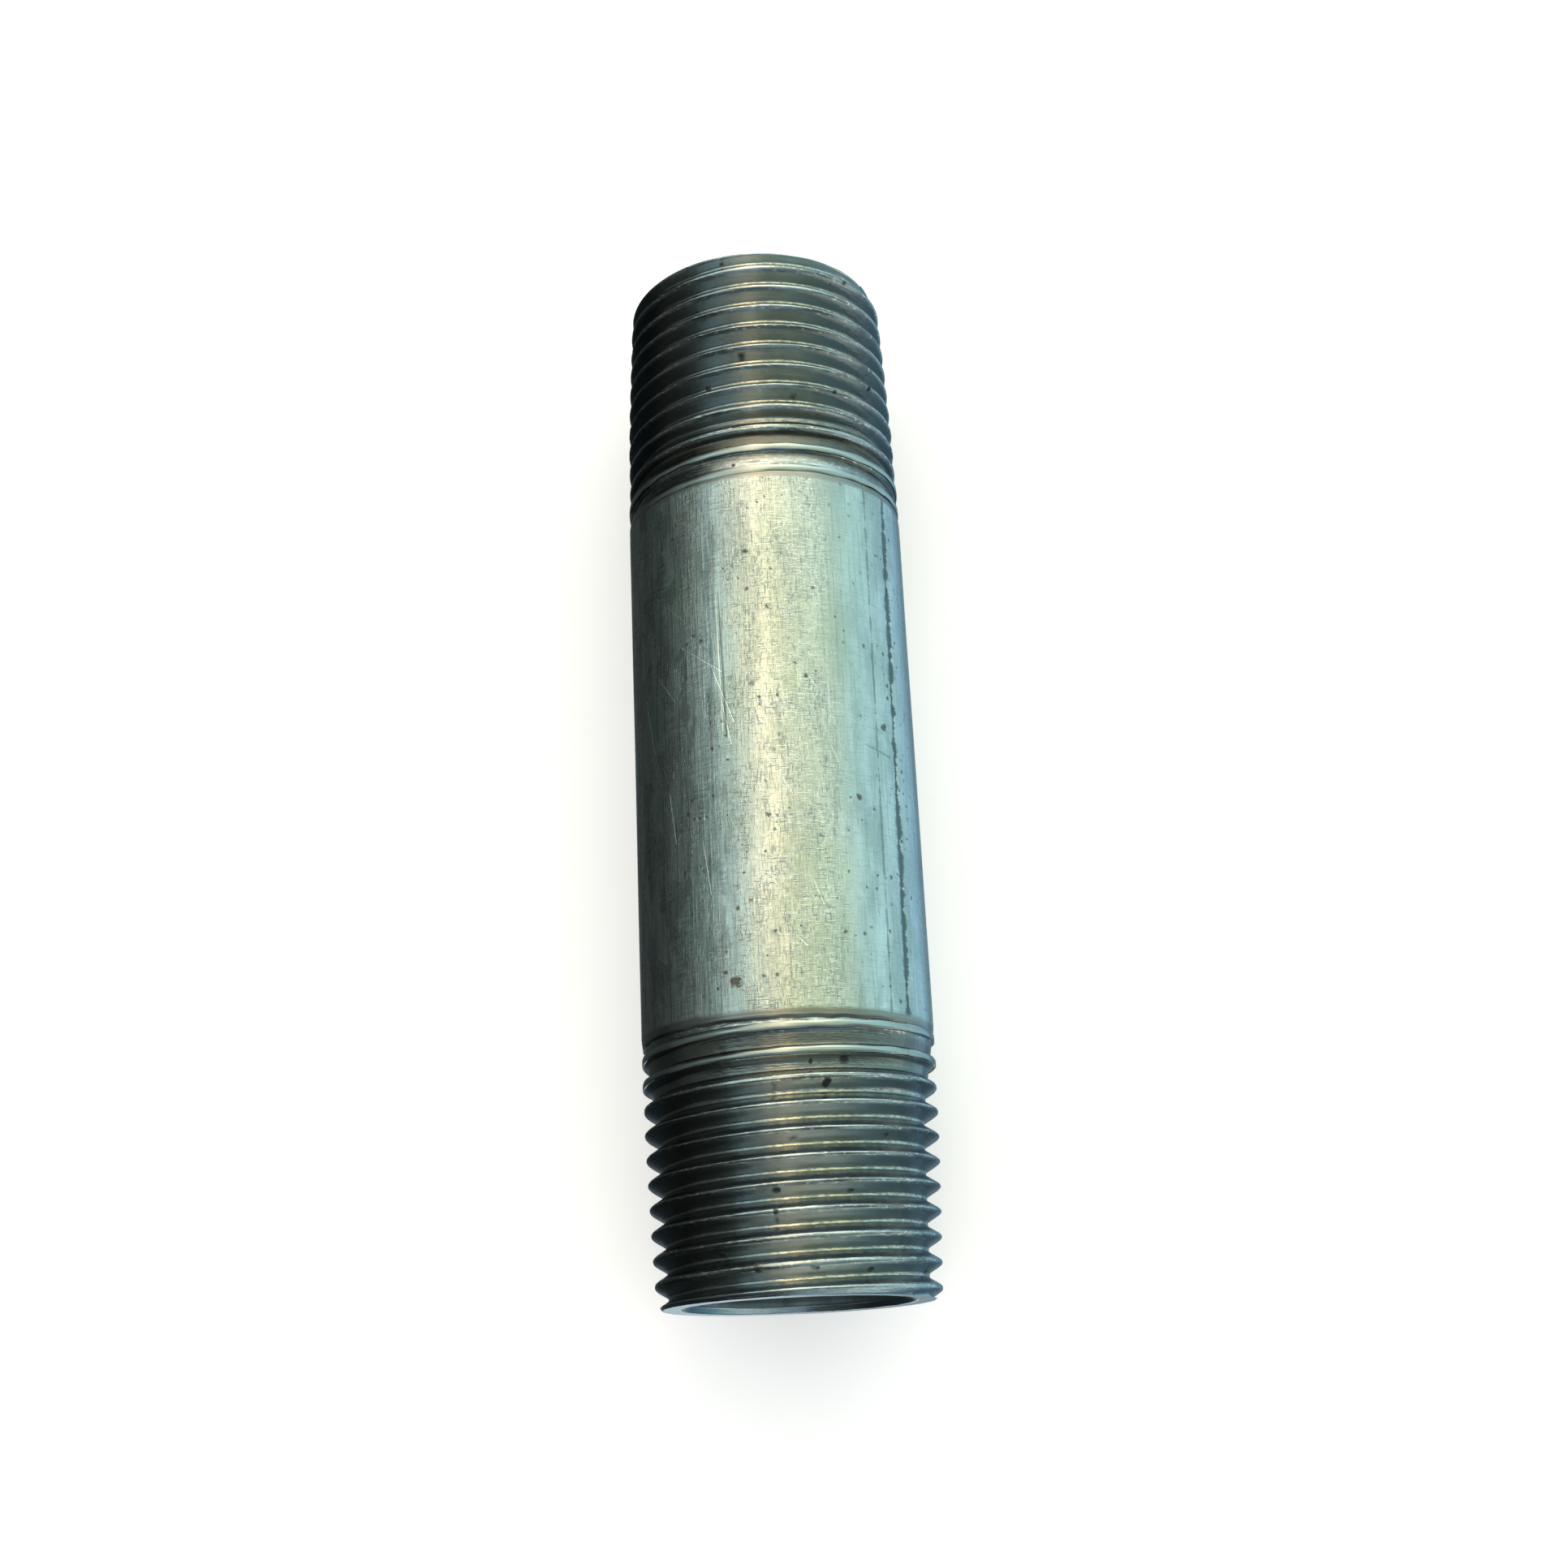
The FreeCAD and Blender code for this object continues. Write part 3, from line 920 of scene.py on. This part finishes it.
@dataclass(frozen=True)
class ZincOutsideFinish(MetalFinish):
    """Semi-gloss zinc, rubbed along and across, speckled with dirt and scratched, with painted shade on the
    left and painted glints on strokes and scratches.
    """

    name: str = "zinc_rubbed"
    seam_angle: float = 0.0
    seam_lean: float = 0.0
    bright: Colour = rgb(0.78, 0.78, 0.77)
    dull: Colour = rgb(0.50, 0.54, 0.53)
    stain: Colour = rgb(0.70, 0.72, 0.60)
    brown: Colour = rgb(0.50, 0.46, 0.45)
    # glint: near white, the colour of painted glints
    glint: Colour = rgb(1.0, 1.0, 0.98)
    shadow: Colour = rgb(0.20, 0.22, 0.215)
    dirt: Colour = rgb(0.09, 0.09, 0.08)
    seam: Colour = rgb(0.11, 0.135, 0.14)
    cut: Colour = rgb(0.30, 0.29, 0.27)
    turned: Colour = rgb(0.43, 0.41, 0.38)

    # angle round the pipe, position along it and size
    SPOTS = ((33.6, -4.1, 0.2), (-18.5, -14.8, 0.34), (49.0, 0.6, 0.26), (-8.0, 11.0, 0.16))
    GOUGE = (-19.8, 8.6, -18.4, -0.4, 0.09)
    RUB = (38.0, -0.8, 52.0, -1.2, 0.12)
    # angle and position of both ends, and width
    SCRATCHES = (
        (-44.0, 8.6, -36.0, 7.4, 0.05), (-20.8, 8.4, -19.6, 0.0, 0.05), (-38.0, 5.8, -19.0, 3.6, 0.05),
        (-52.0, 4.6, -41.0, 2.4, 0.06), (-24.0, 4.2, -15.0, 0.4, 0.05), (-61.0, 3.4, -55.0, -0.2, 0.05),
        (-20.0, 2.0, -16.5, -0.9, 0.06), (2.0, -3.0, 6.0, -4.1, 0.045), (-5.0, -8.2, -1.5, -9.4, 0.045),
        (12.0, -9.0, 16.0, -10.6, 0.045), (-46.0, -3.0, -43.0, -6.2, 0.045), (22.0, -1.0, 25.0, -2.1, 0.04),
        (5.0, -12.4, 9.0, -13.0, 0.05), (-30.0, -6.4, -27.0, -9.6, 0.04), (14.0, 3.2, 17.5, 2.4, 0.04),
    )

    def paint(self, graph: Graph, effects: Effects) -> tuple[Value, Value, Value]:
        """Zinc in layers: tone, streaks, painted shade on the left, strokes with painted glints, dirt, the weld
        line, scratches with painted glints and the cut edges.
        """
        marked = graph.mark("cut")
        cut = graph.math("MINIMUM", marked, 1.0)
        ribbon = graph.math("SUBTRACT", marked, 1.0, clamp=True)
        around, _ = graph.unrolled(effects.radius)
        left = graph.fade(around, -3.2, -2.0, 1.0, 0.0)
        right = graph.fade(around, 2.5, 5.0, 0.0, 1.0)
        clouds = graph.effect(effects.clouds, 0.5, 0.16, 0.38, 0.66)
        stains = graph.effect(effects.clouds, 0.22, 0.07, 0.45, 0.7, 9.0)
        left_shade_blots = graph.effect(effects.clouds, 0.9, 0.35, 0.5, 0.58, 41.0)
        bands = graph.effect(effects.lines, 1.5, 0.05, 0.4, 0.2, 3.0)
        tints = graph.effect(effects.lines, 1.0, 0.12, 0.5, 0.12, 13.0)
        drawn, drawn_height = graph.grain(effects.lines, 6.0, 0.22, 0.5, 0.22, 1.0)
        rubbed, rubbed_height = graph.grain(effects.lines, 0.55, 7.5, 0.52, 0.2, 5.0)
        turned, turned_height = graph.grain(effects.lines, 0.12, 16.0, 0.45, 0.25, 2.0)
        dark, light = self.hatch(graph, effects, left, right)
        dirt = self.dirt_mask(graph, effects, cut)
        weld = graph.effect(effects.draw_line, self.seam_angle, self.seam_lean, 0.46, 0.5, 0.38)
        line = weld | graph.effect(effects.draw_line, 44.6, 0.07, 0.16, 0.16, 0.4) * 0.55
        scratches = graph.effect(effects.scratch, *self.SCRATCHES[0])
        for scratch in self.SCRATCHES[1:]:
            scratches = scratches | graph.effect(effects.scratch, *scratch)
        gouge = graph.effect(effects.scratch, *self.GOUGE) | graph.effect(effects.scratch, *self.RUB) * 0.6
        colour = graph.layers(
            graph.blend(clouds, self.bright, self.dull),
            (stains * 0.5, self.stain),
            (bands * graph.fade(left, 0.0, 1.0, 0.3, 0.75), self.dull),
            (tints * graph.fade(left, 0.0, 1.0, 0.12, 0.6), self.brown),
            # painted shade: dark blotches on the left side of the pipe
            (left_shade_blots * (left * 0.45), self.shadow),
            (drawn * graph.fade(left, 0.0, 1.0, 0.25, 0.62), self.shadow),
            (rubbed * 0.16, self.shadow),
            # painted glints: the light handling strokes coloured near white
            (light * 0.5, self.glint),
            (dark * 0.64, self.shadow),
            (dirt, self.dirt),
            (line * 0.93, self.seam),
            # scratches: real marks, coloured near white as painted glints
            (scratches * 0.85, self.glint),
            (gouge * 0.8, self.shadow),
            (cut, graph.blend(turned, self.cut, self.turned)),
            (ribbon, graph.blend(turned, self.dull, self.turned)),
        )
        rough = graph.fade(clouds, 0.0, 1.0, 0.2, 0.27) + dirt * 0.3 + dark * 0.1
        height = drawn_height * 1.6 + rubbed_height * 0.9 + (light - dark) * 0.7
        height = height * (1.0 - cut) + turned_height * cut - dirt * 1.5 - line * 2.0 - scratches * 0.8
        return colour, rough, height

    def hatch(self, graph: Graph, effects: Effects, left: Signal, right: Signal) -> list[Signal]:
        """Short strokes from handling, crossed: dark ones, and light ones coloured as painted glints.

        Args:
            graph: the material's graph.
            effects: the shared groups.
            left: 1 on the darker side of the pipe.
            right: 1 on the smoother side.

        Returns:
            Masks of the dark strokes and of the light strokes that carry painted glints.
        """
        masks = []
        where = graph.effect(effects.clouds, 0.6, 0.4, 0.38, 0.58, 17.0)
        ladder = graph.effect(effects.clouds, 0.8, 0.25, 0.48, 0.56, 51.0)
        smooth = graph.fade(right, 0.0, 1.0, 1.0, 0.3) * graph.fade(left, 0.0, 1.0, 1.0, 0.5)
        for shift in (21.0, 61.0):
            upright = graph.effect(effects.lines, 12.0, 1.7, 0.53, 0.14, shift)
            level = graph.effect(effects.lines, 1.9, 12.0, 0.54, 0.14, shift + 7.0)
            rungs = graph.effect(effects.lines, 0.9, 5.0, 0.5, 0.1, shift + 3.0)
            strokes = (upright | level) * graph.fade(where, 0.0, 1.0, 0.5, 1.0)
            masks.append((strokes | rungs * (ladder * left)) * smooth)
        return masks

    def dirt_mask(self, graph: Graph, effects: Effects, cut: Signal) -> Signal:
        """Specks and a few larger spots, none on the freshly cut edges."""
        dirt = graph.effect(effects.specks, 0.4, 0.2, 0.6) * 0.8
        dirt = dirt | graph.effect(effects.specks, 1.5, 0.4, 0.35, 4.0) * 0.85
        for spot in self.SPOTS:
            dirt = dirt | graph.effect(effects.spot, *spot) * 0.8
        return dirt * graph.math("SUBTRACT", 1.0, cut, clamp=True)


@dataclass(frozen=True)
class CutSteelFinish(MetalFinish):
    """Steel as the die left it: turned lines round the pipe, oily hollows and rubbed crests, with painted shade
    down the sides, a painted sheen and glints on the crests and painted highlights in the roots.
    """

    name: str = "cut_steel"
    bare: Colour = rgb(0.36, 0.385, 0.40)
    oily: Colour = rgb(0.22, 0.225, 0.225)
    blue: Colour = rgb(0.30, 0.365, 0.42)
    # crest: lands rubbed bright, made lighter and slightly bluish as a painted reflection
    crest: Colour = rgb(0.62, 0.65, 0.66)
    # rubbed: near white, for rubbed chips and for painted glints on the lands
    rubbed: Colour = rgb(0.95, 0.93, 0.88)
    # root: golden painted highlight along the groove bottoms
    root: Colour = rgb(0.80, 0.71, 0.58)
    floor: Colour = rgb(0.21, 0.205, 0.19)
    far_floor: Colour = rgb(0.125, 0.118, 0.10)
    face: Colour = rgb(0.60, 0.67, 0.70)
    dirt: Colour = rgb(0.05, 0.045, 0.04)
    darkening: float = 0.0

    # angle round the pipe, position along it and size
    SPOTS = (
        (8.4, -19.34, 0.15), (14.2, -20.57, 0.24), (7.8, -16.67, 0.12),
        (33.9, 22.19, 0.2), (-15.0, 30.98, 0.2), (-11.4, 16.82, 0.12),
    )

    def paint(self, graph: Graph, effects: Effects) -> tuple[Value, Value, Value]:
        """Steel in layers: blueing, oil with painted side shade, the vanishing grooves, lands with a painted
        sheen, painted glints, painted root highlights, the face and dirt.
        """
        crest, face, root, shallow = (graph.mark(name) for name in ("crest", "face", "root", "shallow"))
        around, along = graph.unrolled(effects.radius)
        turned, turned_height = graph.grain(effects.lines, 0.1, 13.0, 0.42, 0.3)
        _, coarse_height = graph.grain(effects.lines, 0.3, 4.0, 0.45, 0.3, 7.0)
        chips, chips_height = graph.grain(effects.lines, 2.6, 9.0, 0.55, 0.12, 4.0)
        oil = graph.effect(effects.clouds, 0.35, 0.5, 0.42, 0.62, 2.0)
        blueing = graph.effect(effects.clouds, 0.25, 0.9, 0.45, 0.65, 6.0)
        glint_specks = graph.effect(effects.specks, 0.5, 0.13, 0.3, 19.0)
        dirt = graph.effect(effects.specks, 1.0, 0.4, 0.35, 8.0)
        for spot in self.SPOTS:
            dirt = dirt | graph.effect(effects.spot, *spot)
        # painted shade: oil clouds, plus darkening down both sides of the pipe, most on the left
        oil_and_side_shade = oil * 0.35 | graph.fade(around, -6.0, -1.5, 0.95, 0.0) | graph.fade(around, 2.2, 6.5, 0.0, 0.6)
        land = graph.fade(crest, 0.8, 0.93)
        # lands: rubbed bright with a painted bluish sheen, darkened where the side shade is painted
        rubbed_land_and_sheen = graph.blend(oil_and_side_shade * 0.75, self.crest, self.oily)
        # painted glints: bright specks on the lands, together with rubbed chips
        worn = land * (glint_specks | chips * 0.65)
        # painted highlight along the roots, broken by chips, strong near the top of the pipe and weakest on the
        # left
        painted_root_highlight = root * graph.fade(chips_height, 0.36, 0.6, 0.2, 1.0)
        painted_root_highlight = painted_root_highlight * graph.fade(around, -2.5, -0.8, 0.15, 1.0) * graph.fade(around, 1.5, 4.5, 1.0, 0.8)
        colour = graph.layers(
            graph.blend(blueing * 0.7, self.bare, self.blue),
            (oil_and_side_shade, self.oily),
            (turned * 0.3, self.oily),
            (shallow * 0.9, graph.blend(graph.fade(along, 5.0, 12.0), self.floor, self.far_floor)),
            (land, graph.blend(graph.fade(coarse_height, 0.4, 0.65), rubbed_land_and_sheen, self.oily)),
            (worn, self.rubbed),
            (painted_root_highlight, self.root),
            (face * 0.9, self.face),
            (dirt * 0.85, self.dirt),
            (self.darkening, self.dirt),
        )
        rough = graph.fade(oil, 0.0, 1.0, 0.24, 0.2) + dirt * 0.4 - (painted_root_highlight | worn) * 0.12
        height = turned_height * 0.9 + coarse_height * 0.9 + chips_height * 1.2 + dirt * 2.0
        return colour, rough, height


@dataclass(frozen=True)
class BoreZincFinish(MetalFinish):
    """Dull zinc in the bore, never rubbed."""

    name: str = "zinc_dull"
    bright: Colour = rgb(0.30, 0.34, 0.37)
    dull: Colour = rgb(0.19, 0.215, 0.235)
    dirt: Colour = rgb(0.06, 0.055, 0.05)

    def paint(self, graph: Graph, effects: Effects) -> tuple[Value, Value, Value]:
        """Cloudy zinc with runs along the bore and some dirt."""
        clouds = graph.effect(effects.clouds, 0.6, 0.2, 0.3, 0.75, 3.0)
        runs, runs_height = graph.grain(effects.lines, 2.2, 0.1, 0.45, 0.3, 11.0)
        dirt = graph.effect(effects.specks, 0.9, 0.3, 0.4, 12.0)
        base = graph.blend(clouds, self.bright, self.dull)
        colour = graph.layers(base, (runs * 0.4, self.dull), (dirt, self.dirt))
        return colour, graph.fade(clouds, 0.0, 1.0, 0.42, 0.58), runs_height * 2.0 + clouds * 1.5


# ---------------------------------------------------------------------------------------------
# Studio


@dataclass(frozen=True)
class Studio:
    """Floor, camera and the soft light round the pipe."""

    pipe: PipeSizes
    floor_half_width: float = 1500.0
    floor_glow: float = 0.26
    clear_of_lumps: float = 0.012
    camera_place: tuple[float, float, float] = (0.0, -39.32, 116.73)
    camera_turn: tuple[float, float, float] = (18.27, 0.61, -2.57)
    lens: float = 46.09
    sensor: float = 36.0

    # share of a turn from straight below, past -X, over the top and past +X, and the light there
    AROUND = (
        (0.00, 0.24, 0.32, 0.37), (0.06, 0.05, 0.06, 0.06), (0.20, 0.036, 0.048, 0.044),
        (0.27, 0.10, 0.13, 0.12), (0.325, 0.21, 0.27, 0.25), (0.352, 0.29, 0.38, 0.35),
        (0.372, 0.70, 0.97, 0.95), (0.43, 0.74, 0.96, 0.86), (0.455, 1.12, 1.12, 0.84),
        (0.485, 2.18, 1.93, 1.27), (0.503, 1.70, 1.56, 1.00), (0.520, 0.74, 0.85, 0.58),
        (0.60, 0.80, 0.98, 0.70), (0.66, 0.56, 0.79, 0.68), (0.69, 0.60, 0.98, 0.97),
        (0.78, 0.50, 0.84, 0.89), (0.85, 0.42, 0.73, 0.86), (0.885, 0.40, 0.70, 0.91),
        (0.91, 0.13, 0.24, 0.32), (0.95, 0.20, 0.32, 0.38), (1.00, 0.24, 0.32, 0.37),
    )
    FAR_SIDE = (
        (0.00, 0.20, 0.26, 0.28), (0.10, 0.008, 0.01, 0.012), (0.31, 0.012, 0.016, 0.016),
        (0.36, 0.18, 0.19, 0.17), (0.40, 0.85, 0.84, 0.68), (0.46, 2.10, 1.98, 1.55),
        (0.50, 2.60, 2.42, 1.80), (0.55, 2.30, 2.35, 1.90), (0.62, 1.75, 2.00, 1.75),
        (0.70, 0.85, 1.25, 1.30), (0.84, 0.26, 0.40, 0.46), (1.00, 0.20, 0.26, 0.28),
    )
    NEAR_SIDE = (
        (0.00, 1.10, 1.25, 1.30), (0.015, 0.80, 0.95, 1.00), (0.035, 0.02, 0.03, 0.035),
        (0.16, 0.006, 0.009, 0.01), (0.22, 0.03, 0.035, 0.033), (0.25, 0.12, 0.13, 0.12),
        (0.35, 0.03, 0.04, 0.045), (0.47, 0.24, 0.33, 0.36), (0.55, 0.28, 0.38, 0.42),
        (0.65, 0.12, 0.20, 0.24), (0.75, 0.42, 0.45, 0.38), (0.79, 0.78, 0.90, 0.84),
        (0.82, 0.50, 0.66, 0.68), (0.87, 0.16, 0.29, 0.36), (0.95, 0.06, 0.11, 0.15),
        (1.00, 0.40, 0.50, 0.55),
    )

    def build(self) -> None:
        """Make the whole studio."""
        self.make_floor()
        self.make_camera()
        self.make_light()

    def make_floor(self) -> None:
        """Pale matt floor that the barrel rests on, not seen in the metal."""
        reach = self.floor_half_width
        level = -self.pipe.outside_radius - self.clear_of_lumps
        corners = ((-reach, -reach), (reach, -reach), (reach, reach), (-reach, reach))
        places = [(x * MILLIMETRE, y * MILLIMETRE, level * MILLIMETRE) for x, y in corners]
        mesh = bpy.data.meshes.new("floor")
        mesh.from_pydata(places, [], [(0, 1, 2, 3)])
        floor = bpy.data.objects.new("floor", mesh)
        bpy.context.scene.collection.objects.link(floor)
        material = bpy.data.materials.new("pale_floor")
        material.use_nodes = True
        graph = Graph(material.node_tree)
        shader = material.node_tree.nodes["Principled BSDF"]
        grain = graph.noise(graph.place(), 0.4, 3.0)
        pale = graph.blend(grain, rgb(0.93, 0.93, 0.93), rgb(0.95, 0.95, 0.95))
        graph.run(shader, "BSDF", base_color=pale, roughness=0.9, emission_strength=self.floor_glow)
        shader.inputs["Specular IOR Level"].default_value = 0.0
        shader.inputs["Emission Color"].default_value = rgb(1.0, 1.0, 1.0)
        mesh.materials.append(material)
        floor.visible_glossy = False

    def make_camera(self) -> None:
        """The camera above the near end, looking down along the pipe."""
        camera = bpy.data.cameras.new("camera")
        camera.lens = self.lens
        camera.sensor_width = self.sensor
        camera.clip_start = 0.001
        camera.clip_end = 10.0
        holder = bpy.data.objects.new("camera", camera)
        holder.location = [value * MILLIMETRE for value in self.camera_place]
        holder.rotation_euler = Euler([math.radians(value) for value in self.camera_turn], "XYZ")
        bpy.context.scene.collection.objects.link(holder)
        bpy.context.scene.camera = holder

    def ring(self, graph: Graph, share: Signal, stops: tuple) -> Signal:
        """Light by direction round the pipe."""
        node = graph.add("ShaderNodeValToRGB")
        elements = node.color_ramp.elements
        for element, (position, *light) in zip(elements, (stops[0], stops[-1])):
            element.position, element.color = position, rgb(*light)
        for position, *light in stops[1:-1]:
            elements.new(position).color = rgb(*light)
        return graph.run(node, "Color", share)

    def make_light(self) -> None:
        """Soft light whose colour turns with direction in reflections, and is plain on the floor."""
        world = bpy.data.worlds.new("studio")
        bpy.context.scene.world = world
        world.use_nodes = True
        world.node_tree.nodes.clear()
        graph = Graph(world.node_tree)
        x, y, z = graph.split(graph.run(graph.add("ShaderNodeTexCoord"), "Generated"))
        share = graph.math("DIVIDE", graph.math("ARCTAN2", x, z), 2 * math.pi) + 0.5
        around, far_side, near_side = (
            self.ring(graph, share, stops) for stops in (self.AROUND, self.FAR_SIDE, self.NEAR_SIDE)
        )
        reflected = graph.layers(
            around, (graph.fade(y, 0.45, 0.68), far_side), (graph.fade(y, -0.25, 0.0, 1.0, 0.0), near_side)
        )
        path = graph.add("ShaderNodeLightPath")
        plain = graph.run(path, "Is Camera Ray") | graph.run(path, "Is Diffuse Ray")
        colour = graph.blend(plain, reflected, rgb(1.0, 1.0, 1.0))
        light = graph.run(graph.add("ShaderNodeBackground"), 0, colour)
        graph.feed(graph.add("ShaderNodeOutputWorld").inputs["Surface"], light)
        bpy.context.scene.view_settings.view_transform = "Standard"


# ---------------------------------------------------------------------------------------------
# The whole nipple


def main() -> None:
    """Build the pieces in order, then the studio."""
    logging.basicConfig(level=logging.INFO)
    pipe = PipeSizes.from_frame()
    near = TaperThread(pipe, End.NEAR, length=15.4, root_offset=0.924)
    far = TaperThread(pipe, End.FAR, length=16.0, root_offset=0.533)
    effects = Effects(pipe)
    steel = CutSteelFinish().build(effects)
    weld = CutSteelFinish(name="weld_steel", darkening=0.15).build(effects)
    zinc = ZincOutsideFinish(seam_angle=pipe.seam_angle, seam_lean=pipe.seam_lean).build(effects)
    lining = BoreZincFinish().build(effects)

    wall = SteelWall(pipe, near, far)
    mount_piece(wall.strip(), "rolled_strip", steel)
    mount_piece(wall.weld(), "weld_seam", weld)
    coat = OutsideZinc(pipe, near, far)
    for piece in (
        coat.barrel(),
        coat.crest_ribbon(near, "near_crest_zinc", (9.92, 7.4)),
        coat.crest_ribbon(far, "far_crest_zinc", (-11.36, -9.15)),
    ):
        mount_piece(piece, "zinc_coat_outside", zinc)
    mount_piece(BoreZinc(pipe).build(), "zinc_coat_bore", lining)

    Studio(pipe).build()


if __name__ == "__main__":
    main()
